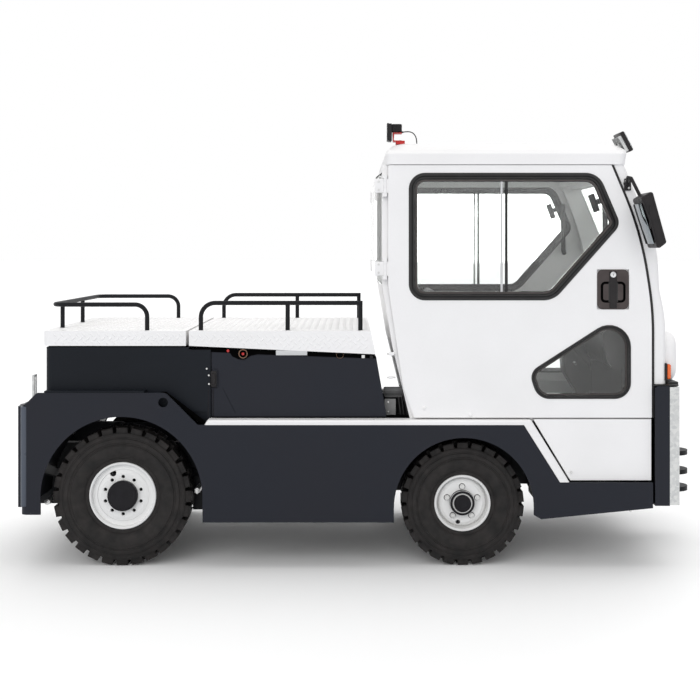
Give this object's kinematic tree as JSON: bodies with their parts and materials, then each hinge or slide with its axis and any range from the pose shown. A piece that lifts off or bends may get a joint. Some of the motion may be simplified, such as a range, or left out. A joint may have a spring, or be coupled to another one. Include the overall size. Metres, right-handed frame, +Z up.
{
  "type": "airport baggage tug",
  "caption": "Battery-electric tow tractor with a closed two-door cab over the steering axle, a low rear deck with hoop rails and tow couplings at both ends.",
  "frame": {"origin": "on the ground under the middle of the vehicle's bounding box", "axes": "+X forward, +Y to the vehicle's left, +Z up"},
  "size_m": [3.5696, 1.78, 2.155],
  "materials": {
    "white_paint": "semi-gloss",
    "anthracite_paint": "satin",
    "black_paint": "satin",
    "galvanised_steel": "dull zinc",
    "chequer_plate": "raised tread pattern",
    "glass": "clear",
    "rubber": "matt",
    "tyre": "matt",
    "rim_paint": "satin",
    "black_plastic": "grained",
    "seat_cover": "woven",
    "lamp_lens": "clear lens",
    "red_lens": "red lens",
    "orange_lens": "orange lens",
    "battery_case": "plain"
  },
  "bodies": {
    "chassis": {"battery": "battery_case", "battery_bay": "black_paint", "battery_side_panels": "anthracite_paint", "cab_floor": "black_paint", "cab_frame": "white_paint", "cab_front": "white_paint", "cab_glazing": "glass", "cab_rear_wall": "white_paint", "cab_roof": "white_paint", "chassis_frame": "black_paint", "coupling_pins": "galvanised_steel", "dashboard": "black_plastic", "front_axle": "black_paint", "front_bumper": "anthracite_paint", "front_bumper_plate": "galvanised_steel", "headlamps": "lamp_lens", "indicators": "orange_lens", "leaf_springs": "black_paint", "lower_side_panels": "white_paint", "mirrors": "black_plastic", "pedals": "black_paint", "rear_axle": "black_paint", "rear_box": "anthracite_paint", "rear_bumper": "anthracite_paint", "running_boards": "white_paint", "seat_base": "black_paint", "seat_cushions": "seat_cover", "side_plate_left": "anthracite_paint", "side_plate_right": "anthracite_paint", "steering_column": "black_plastic", "tail_lamps": "red_lens", "tow_couplings": "black_paint", "wheel_houses": "black_paint", "wiper": "black_plastic", "work_lamps": "black_plastic"},
    "door_right": {"door_right": "white_paint", "door_seals_right": "rubber", "door_glass_right": "glass", "door_handle_right": "black_plastic"},
    "knuckle_right": {"knuckle_right": "black_paint"},
    "wheel_front_right": {"tyre_front_right": "tyre", "rim_front_right": "rim_paint"},
    "wheel_rear_right": {"tyre_rear_right": "tyre", "rim_rear_right": "rim_paint"},
    "door_left": {"door_left": "white_paint", "door_seals_left": "rubber", "door_glass_left": "glass", "door_handle_left": "black_plastic"},
    "knuckle_left": {"knuckle_left": "black_paint"},
    "wheel_front_left": {"tyre_front_left": "tyre", "rim_front_left": "rim_paint"},
    "wheel_rear_left": {"tyre_rear_left": "tyre", "rim_rear_left": "rim_paint"},
    "rear_lid": {"rear_lid": "chequer_plate", "rear_rail": "black_paint"},
    "battery_lid": {"battery_lid": "chequer_plate", "battery_rails": "black_paint"},
    "steering_wheel": {"steering_wheel": "black_plastic"},
    "tie_rod": {"tie_rod": "black_paint"}
  },
  "joints": [
    {"name": "steer_right", "type": "hinge", "parent": "chassis", "child": "knuckle_right", "pos_m": [0.527, -0.44, 0.298], "axis": [0, 0, 1], "range_deg": [-32, 32]},
    {"name": "wheel_front_right_turn", "type": "hinge", "parent": "knuckle_right", "child": "wheel_front_right", "pos_m": [0.527, -0.535, 0.298], "axis": [0, 1, 0], "continuous": true},
    {"name": "wheel_rear_right_turn", "type": "hinge", "parent": "chassis", "child": "wheel_rear_right", "pos_m": [-1.125, -0.535, 0.335], "axis": [0, 1, 0], "continuous": true},
    {"name": "door_right_hinge", "type": "hinge", "parent": "chassis", "child": "door_right", "pos_m": [0.15, -0.64, 1.3], "axis": [0, 0, -1], "range_deg": [0, 85]},
    {"name": "steer_left", "type": "hinge", "parent": "chassis", "child": "knuckle_left", "pos_m": [0.527, 0.44, 0.298], "axis": [0, 0, 1], "range_deg": [-33, 33]},
    {"name": "wheel_front_left_turn", "type": "hinge", "parent": "knuckle_left", "child": "wheel_front_left", "pos_m": [0.527, 0.535, 0.298], "axis": [0, 1, 0], "continuous": true},
    {"name": "wheel_rear_left_turn", "type": "hinge", "parent": "chassis", "child": "wheel_rear_left", "pos_m": [-1.125, 0.535, 0.335], "axis": [0, 1, 0], "continuous": true},
    {"name": "door_left_hinge", "type": "hinge", "parent": "chassis", "child": "door_left", "pos_m": [0.15, 0.64, 1.3], "axis": [0, 0, 1], "range_deg": [0, 85]},
    {"name": "tie_rod_pivot", "type": "hinge", "parent": "knuckle_right", "child": "tie_rod", "pos_m": [0.397, -0.44, 0.245], "axis": [0, 0, 1], "range_deg": [-33, 33]},
    {"name": "rear_lid_hinge", "type": "hinge", "parent": "chassis", "child": "rear_lid", "pos_m": [-1.51, 0, 1.13], "axis": [0, -1, 0], "range_deg": [0, 60]},
    {"name": "battery_lid_hinge", "type": "hinge", "parent": "chassis", "child": "battery_lid", "pos_m": [-0.798, 0, 1.13], "axis": [0, -1, 0], "range_deg": [0, 60]},
    {"name": "steering_wheel_turn", "type": "hinge", "parent": "chassis", "child": "steering_wheel", "pos_m": [1.075, 0, 1.17], "axis": [-0.6229, 0, 0.7823], "range_deg": [-390, 390]}
  ],
  "couplings": [
    {"joint": "steer_left", "follows": "steer_right", "ratio": 1},
    {"joint": "tie_rod_pivot", "follows": "steer_right", "ratio": -1},
    {"joint": "steering_wheel_turn", "follows": "steer_right", "ratio": 12}
  ]
}
